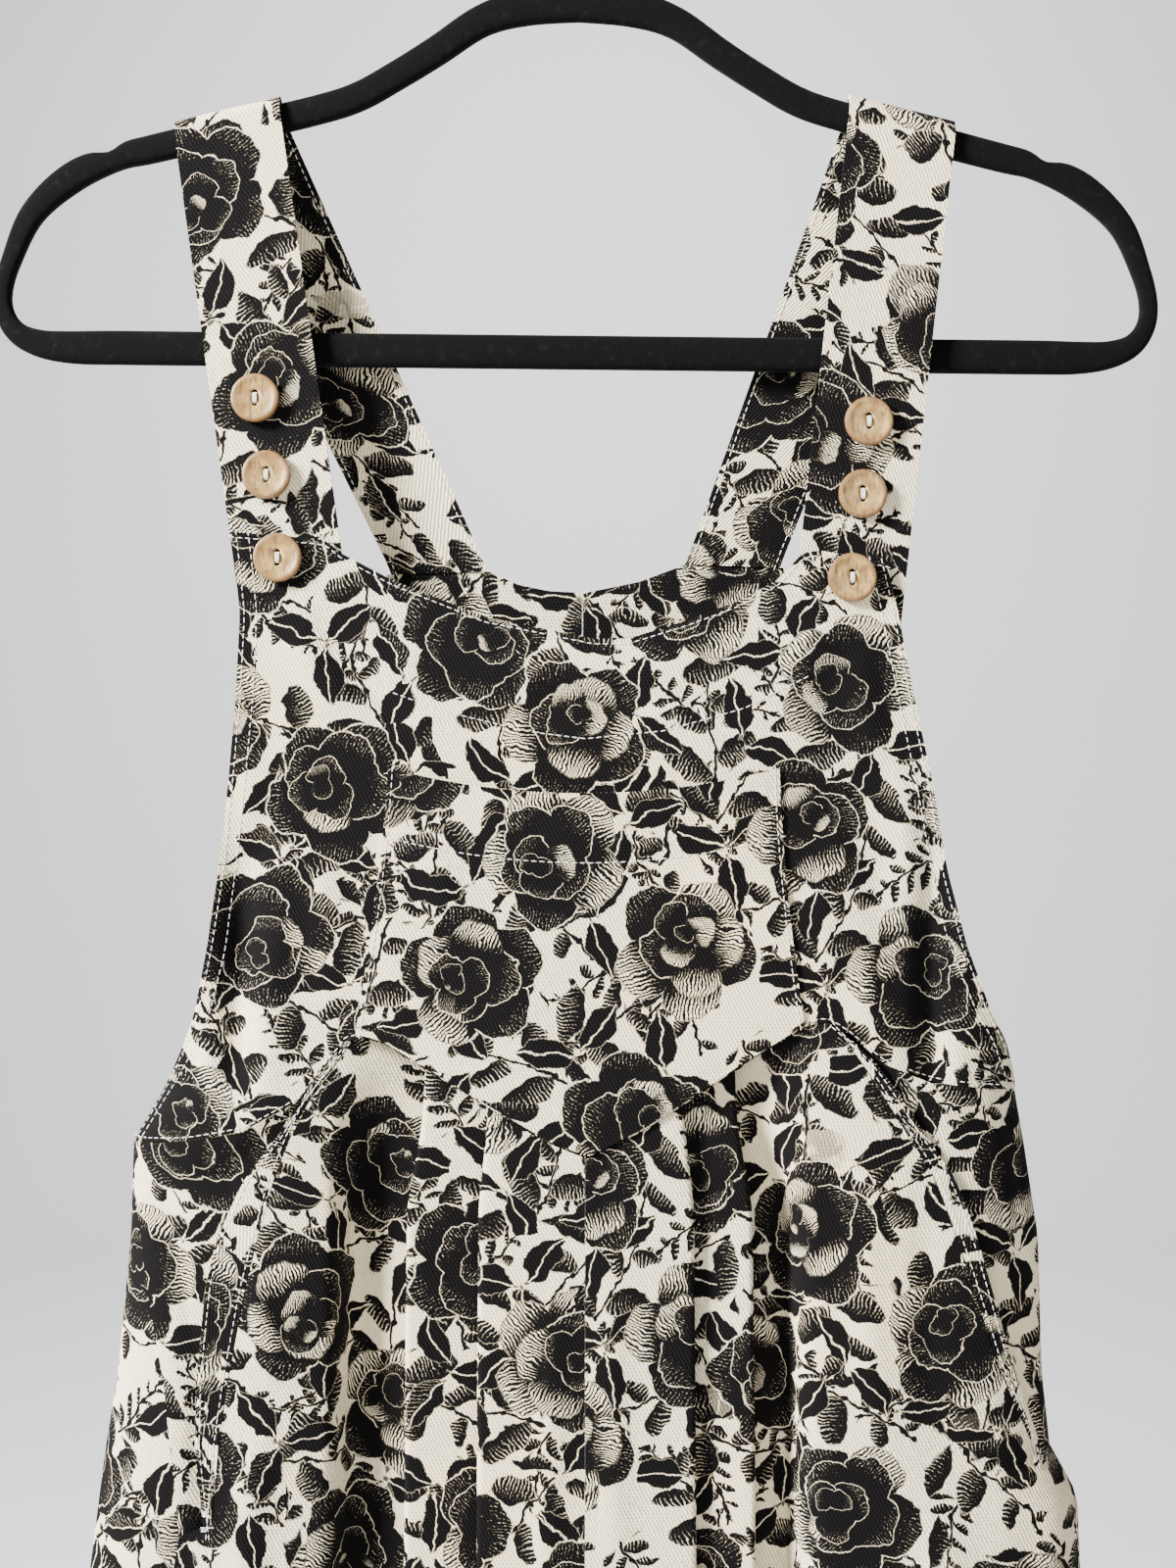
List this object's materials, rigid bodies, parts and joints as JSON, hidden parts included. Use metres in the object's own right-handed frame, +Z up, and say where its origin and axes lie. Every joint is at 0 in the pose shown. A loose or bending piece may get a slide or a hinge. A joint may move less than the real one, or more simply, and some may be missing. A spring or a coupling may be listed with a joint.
{
  "type": "pinafore overalls on a clothes hanger",
  "caption": "Wide-leg pinafore overalls in floral printed twill, hung by buttoned straps on a slim hanger, with a bib pocket, pleated fronts and slanted pockets.",
  "frame": {"origin": "inner top of the hanger's hook, where it hangs on a rail", "axes": "+Z up, the front of the garment faces -Y, +X is to the right of a viewer who faces the front"},
  "size_m": [0.4756, 0.0688, 1.3883],
  "materials": {
    "printed_twill": "cream cotton twill with a black rose print",
    "black_flock": "black velvet flock over plastic",
    "steel_wire": "polished steel wire",
    "coconut": "lacquered coconut shell"
  },
  "bodies": {
    "root": {"hanger_frame": "black_flock", "hanger_hook": "steel_wire", "bib_front": "printed_twill", "bib_pocket": "printed_twill", "back_bodice_left": "printed_twill", "strap_left": "printed_twill", "leg_front_left": "printed_twill", "leg_back_left": "printed_twill", "hip_yoke_left": "printed_twill", "pocket_band_left": "printed_twill", "button_left_1": "coconut", "button_left_2": "coconut", "button_left_3": "coconut", "back_bodice_right": "printed_twill", "strap_right": "printed_twill", "leg_front_right": "printed_twill", "leg_back_right": "printed_twill", "hip_yoke_right": "printed_twill", "pocket_band_right": "printed_twill", "button_right_1": "coconut", "button_right_2": "coconut", "button_right_3": "coconut"}
  },
  "joints": []
}
